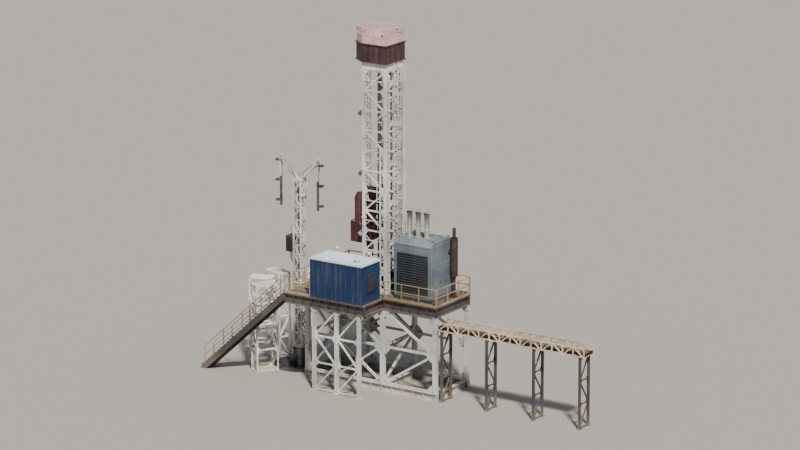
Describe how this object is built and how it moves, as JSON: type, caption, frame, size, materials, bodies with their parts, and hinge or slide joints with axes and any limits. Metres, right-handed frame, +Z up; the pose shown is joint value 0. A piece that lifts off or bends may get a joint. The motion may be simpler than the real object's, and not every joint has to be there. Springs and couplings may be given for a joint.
{
  "type": "oil drilling rig",
  "caption": "Compact land drilling rig with a raised floor, slim lattice mast, top drive, driller's cabin, power unit, slewing pipe handler with bins, and a pipe bridge.",
  "frame": {"origin": "well centre at ground level, on the base frame's underside", "axes": "+X to the power side, +Y to the far side, +Z up"},
  "size_m": [25.7105, 6.86, 21.56],
  "materials": {
    "structure_paint": "worn grey paint",
    "floor_paint": "worn dark grey paint",
    "mast_paint": "chalky white paint",
    "head_paint": "dark maroon paint",
    "guard_paint": "faded red paint",
    "drive_paint": "dark red paint",
    "steel": "oiled steel",
    "rope_steel": "greased wire rope",
    "cabin_paint": "blue paint",
    "roof_paint": "pale blue-white paint",
    "window_glass": "clear",
    "power_paint": "grey-blue paint",
    "louvre_paint": "dark grey paint",
    "stack_metal": "weathered metal",
    "bridge_paint": "tan paint with rust",
    "line_rubber": "dusty black",
    "rail_paint": "worn yellow paint",
    "bin_paint": "white paint with rust",
    "silencer_rust": "heat-rusted steel"
  },
  "bodies": {
    "root": {"base_frame": "structure_paint", "substructure_legs": "structure_paint", "substructure_bracing_sides": "structure_paint", "substructure_bracing_ends": "structure_paint", "floor_girders": "floor_paint", "floor_beams": "floor_paint", "well_beams": "floor_paint", "floor_deck": "floor_paint", "rotary_table": "steel", "floor_railings": "rail_paint", "stair_stringers": "floor_paint", "stair_treads": "floor_paint", "stair_handrails": "rail_paint", "cabin_posts": "structure_paint", "cabin_post_braces": "mast_paint", "cabin_floor": "floor_paint", "cabin_wall_near": "cabin_paint", "cabin_wall_far": "cabin_paint", "cabin_wall_ends": "cabin_paint", "cabin_roof": "roof_paint", "cabin_door": "roof_paint", "cabin_windows": "window_glass", "mast_shoes": "structure_paint", "mast_legs": "mast_paint", "mast_lattice_sides": "mast_paint", "mast_lattice_back": "mast_paint", "mast_head_ring": "mast_paint", "mast_ladder": "mast_paint", "guide_rails": "mast_paint", "head_frame": "head_paint", "head_sheaves": "steel", "head_guard": "guard_paint", "hoist_ropes": "rope_steel", "winch_ropes": "rope_steel", "hoist_winch": "steel", "power_unit_skid": "floor_paint", "power_unit_housing": "power_paint", "power_unit_louvres": "louvre_paint", "power_unit_stacks": "stack_metal", "exhaust_silencer": "silencer_rust", "bridge_sides": "bridge_paint", "bridge_tray": "bridge_paint", "bridge_trestles": "floor_paint", "bridge_lines": "line_rubber", "handler_base": "steel", "bin_sides": "bin_paint", "bin_ends": "bin_paint", "bin_fingers": "bin_paint"},
    "top_drive": {"top_drive_carriage": "drive_paint", "top_drive_gearbox": "drive_paint", "top_drive_motors": "drive_paint", "top_drive_yoke": "drive_paint", "elevator_links": "steel"},
    "pipe_handler": {"handler_column": "mast_paint", "handler_lattice": "mast_paint", "handler_head": "mast_paint", "handler_grips": "steel", "handler_jaws": "steel"}
  },
  "joints": [
    {"name": "top_drive_travel", "type": "slide", "parent": "root", "child": "top_drive", "axis": [0, 0, 1], "range_m": [0, 6.9], "deforming": ["hoist_ropes"]},
    {"name": "pipe_handler_slew", "type": "hinge", "parent": "root", "child": "pipe_handler", "pos_m": [-5, 0, 1.2], "axis": [0, 0, 1], "range_deg": [-170, 170]}
  ]
}
